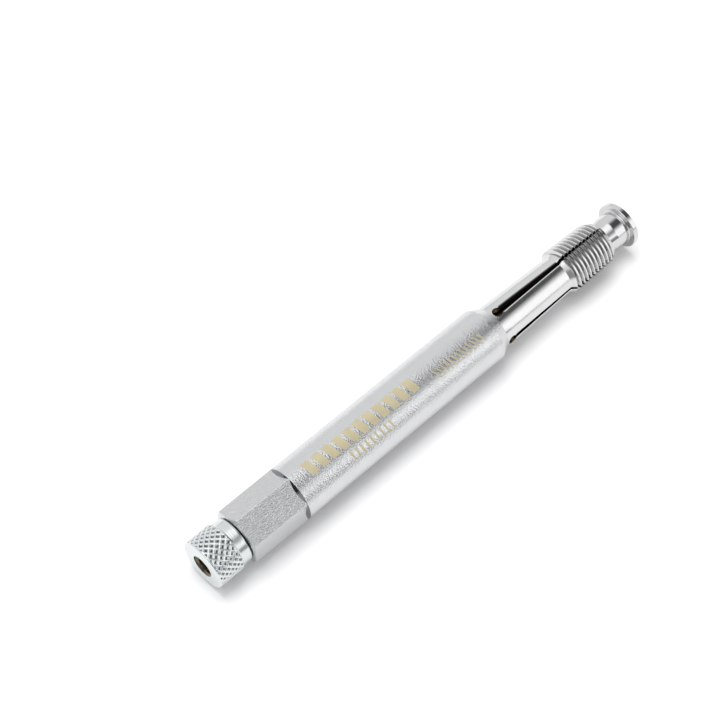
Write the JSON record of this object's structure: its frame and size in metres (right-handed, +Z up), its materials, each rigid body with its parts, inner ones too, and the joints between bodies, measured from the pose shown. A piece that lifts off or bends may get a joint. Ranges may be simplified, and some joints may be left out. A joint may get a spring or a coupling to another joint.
{
  "type": "expanding back tap",
  "caption": "Hexagon-ended barrel tool with a knurled knob that draws a wedge rod back through a split thread tap to spread its fingers.",
  "frame": {"origin": "middle of the tool's length, on the surface its barrel lies on", "axes": "+X along the tool towards the tap and the rod's end disc, +Z up, hexagon flats facing +Y and -Y"},
  "size_m": [0.1394, 0.0144, 0.0145],
  "materials": {
    "satin_chrome": "satin bead-blasted chrome plate with a fine grain",
    "knob_plating": "bright plated steel, knurled",
    "tap_steel": "bright plated tool steel, finely ground",
    "polished_rod": "polished plated steel",
    "plain_steel": "plain hardened steel"
  },
  "bodies": {
    "root": {"hex_body": "satin_chrome", "tap_collar": "tap_steel", "key_pin": "plain_steel"},
    "knob": {"knurled_knob": "knob_plating"},
    "rod": {"draw_rod": "polished_rod"},
    "finger_1": {"tap_finger_1": "tap_steel"},
    "finger_2": {"tap_finger_2": "tap_steel"},
    "finger_3": {"tap_finger_3": "tap_steel"},
    "finger_4": {"tap_finger_4": "tap_steel"}
  },
  "joints": [
    {"name": "knob_turn", "type": "hinge", "parent": "root", "child": "knob", "pos_m": [-0.06473, 0, 0.00725], "axis": [1, 0, 0], "range_deg": [0, 1800.01]},
    {"name": "rod_slide", "type": "slide", "parent": "root", "child": "rod", "axis": [-1, 0, 0], "range_m": [0, 0.00635]},
    {"name": "finger_1_flex", "type": "hinge", "parent": "root", "child": "finger_1", "pos_m": [0.02508, 0.00346, 0.01071], "axis": [0, -0.7071, 0.7071], "range_deg": [0, 1.7]},
    {"name": "finger_2_flex", "type": "hinge", "parent": "root", "child": "finger_2", "pos_m": [0.02508, -0.00346, 0.01071], "axis": [0, -0.7071, -0.7071], "range_deg": [0, 1.7]},
    {"name": "finger_3_flex", "type": "hinge", "parent": "root", "child": "finger_3", "pos_m": [0.02508, -0.00346, 0.00379], "axis": [0, 0.7071, -0.7071], "range_deg": [0, 1.7]},
    {"name": "finger_4_flex", "type": "hinge", "parent": "root", "child": "finger_4", "pos_m": [0.02508, 0.00346, 0.00379], "axis": [0, 0.7071, 0.7071], "range_deg": [0, 1.7]}
  ],
  "couplings": [
    {"joint": "knob_turn", "follows": "rod_slide", "rad_per_m": 4947.4},
    {"joint": "finger_1_flex", "follows": "rod_slide", "rad_per_m": 4.6725},
    {"joint": "finger_2_flex", "follows": "rod_slide", "rad_per_m": 4.6725},
    {"joint": "finger_3_flex", "follows": "rod_slide", "rad_per_m": 4.6725},
    {"joint": "finger_4_flex", "follows": "rod_slide", "rad_per_m": 4.6725}
  ]
}
